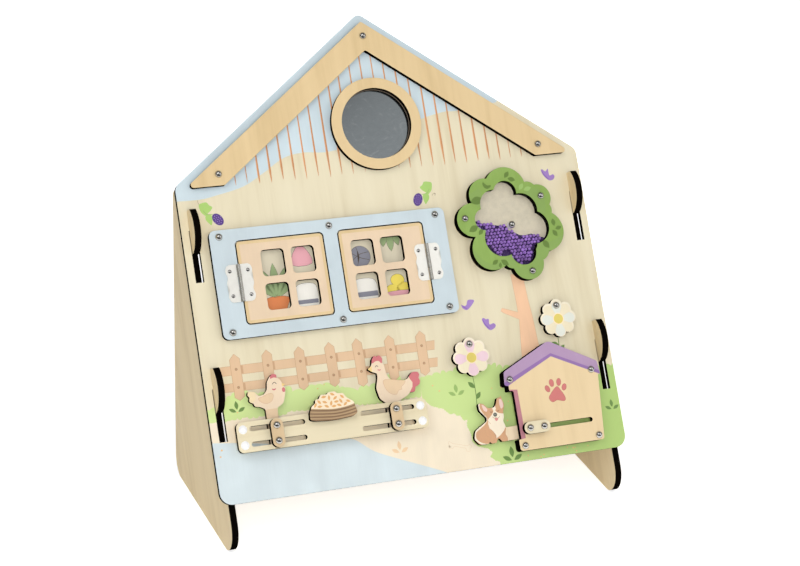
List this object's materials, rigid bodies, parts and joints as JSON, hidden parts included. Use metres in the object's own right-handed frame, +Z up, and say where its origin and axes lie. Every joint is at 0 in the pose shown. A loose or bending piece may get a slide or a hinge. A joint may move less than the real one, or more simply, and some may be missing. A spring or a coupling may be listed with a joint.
{
  "type": "wooden busy board",
  "caption": "House-shaped leaning plywood activity board on two hooked side panels, with opening windows, a mirror, a bead crown, turning flowers, sliding hens and a puppy.",
  "frame": {"origin": "centre of the bounding box, on the floor that the side panels stand on", "axes": "+Z up, +X to the right seen from the front; the board faces -Y and leans back towards +Y"},
  "size_m": [0.42, 0.2442, 0.4546],
  "materials": {
    "ply_side": "bare sanded plywood, laser-cut dark edges",
    "ply_board": "sanded plywood with a printed garden scene, laser-cut dark edges",
    "ply_trim": "bare sanded plywood, laser-cut dark edges",
    "ply_rail": "bare sanded plywood, laser-cut dark edges",
    "window_print": "plywood printed pale blue, matt",
    "door_print": "plywood printed peach, matt",
    "crown_print": "plywood printed green, matt",
    "crown_back": "thin matt sheet",
    "kennel_print": "plywood with a printed lilac roof, matt",
    "bowl_print": "printed plywood, matt",
    "pink_flower_print": "printed plywood, matt",
    "white_flower_print": "printed plywood, matt",
    "hen_print": "printed plywood, matt",
    "dog_print": "printed plywood, matt",
    "mirror": "clear reflective acrylic mirror",
    "nickel_steel": "bright nickel plate",
    "clear_acrylic": "clear, polished",
    "bead_plastic": "glossy violet",
    "white_plastic": "white, semi-gloss"
  },
  "bodies": {
    "stand": {"side_panel_left": "ply_side", "side_panel_right": "ply_side"},
    "board": {"front_panel": "ply_board", "roof_trim": "ply_trim", "roof_trim_bolts": "nickel_steel", "mirror_ring": "ply_trim", "mirror_disc": "mirror", "mirror_backer": "ply_side", "window_frame": "window_print", "window_frame_bolts": "nickel_steel", "hinge_left_frame_leaf": "nickel_steel", "hinge_left_pin": "nickel_steel", "hinge_right_frame_leaf": "nickel_steel", "hinge_right_pin": "nickel_steel", "hinge_frame_screws": "nickel_steel", "crown_washer": "nickel_steel", "crown_pivot_bolt": "nickel_steel", "flower_washers": "nickel_steel", "flower_pivot_bolts": "nickel_steel", "feeding_rail": "ply_rail", "rail_spacers": "ply_side", "rail_bolts": "nickel_steel", "rail_caps": "white_plastic", "feed_bowl": "bowl_print", "kennel_front": "kennel_print", "kennel_roof_spacer": "kennel_print", "kennel_plinth_spacer": "ply_trim", "kennel_bolts": "nickel_steel", "back_nuts": "nickel_steel"},
    "left_door": {"window_door_left": "door_print", "hinge_left_door_leaf": "nickel_steel", "hinge_left_door_screws": "nickel_steel"},
    "right_door": {"window_door_right": "door_print", "hinge_right_door_leaf": "nickel_steel", "hinge_right_door_screws": "nickel_steel"},
    "crown": {"crown_front_ring": "crown_print", "crown_window": "clear_acrylic", "crown_spacer_ring": "ply_side", "crown_back": "crown_back", "crown_hub": "white_plastic", "crown_beads": "bead_plastic", "crown_bolts": "nickel_steel"},
    "pink_flower": {"flower_pink": "pink_flower_print"},
    "white_flower": {"flower_white": "white_flower_print"},
    "left_hen": {"hen_left": "hen_print", "hen_left_knob": "ply_trim", "hen_left_bolts": "nickel_steel"},
    "right_hen": {"hen_right": "hen_print", "hen_right_knob": "ply_trim", "hen_right_bolts": "nickel_steel"},
    "puppy": {"dog": "dog_print", "dog_knob": "ply_trim", "dog_bolts": "nickel_steel"}
  },
  "joints": [
    {"name": "board_lift", "type": "slide", "parent": "stand", "child": "board", "axis": [0, 0.5, 0.866], "range_m": [0, 0.028]},
    {"name": "left_door_hinge", "type": "hinge", "parent": "board", "child": "left_door", "pos_m": [-0.1615, -0.01835, 0.23625], "axis": [0, -0.5, -0.866], "range_deg": [0, 150]},
    {"name": "right_door_hinge", "type": "hinge", "parent": "board", "child": "right_door", "pos_m": [0.0305, -0.01835, 0.23625], "axis": [0, 0.5, 0.866], "range_deg": [0, 150]},
    {"name": "crown_spin", "type": "hinge", "parent": "board", "child": "crown", "pos_m": [0.12411, 0.00244, 0.25646], "axis": [0, -0.866, 0.5], "continuous": true},
    {"name": "pink_flower_spin", "type": "hinge", "parent": "board", "child": "pink_flower", "pos_m": [0.0583, -0.05446, 0.15791], "axis": [0, -0.866, 0.5], "continuous": true},
    {"name": "white_flower_spin", "type": "hinge", "parent": "board", "child": "white_flower", "pos_m": [0.1567, -0.04076, 0.18164], "axis": [0, -0.866, 0.5], "continuous": true},
    {"name": "left_hen_slide", "type": "slide", "parent": "board", "child": "left_hen", "axis": [1, 0, 0], "range_m": [-0.0208, 0.0255]},
    {"name": "right_hen_slide", "type": "slide", "parent": "board", "child": "right_hen", "axis": [1, 0, 0], "range_m": [-0.0322, 0.0156]},
    {"name": "puppy_slide", "type": "slide", "parent": "board", "child": "puppy", "axis": [1, 0, 0], "range_m": [0, 0.052]}
  ]
}
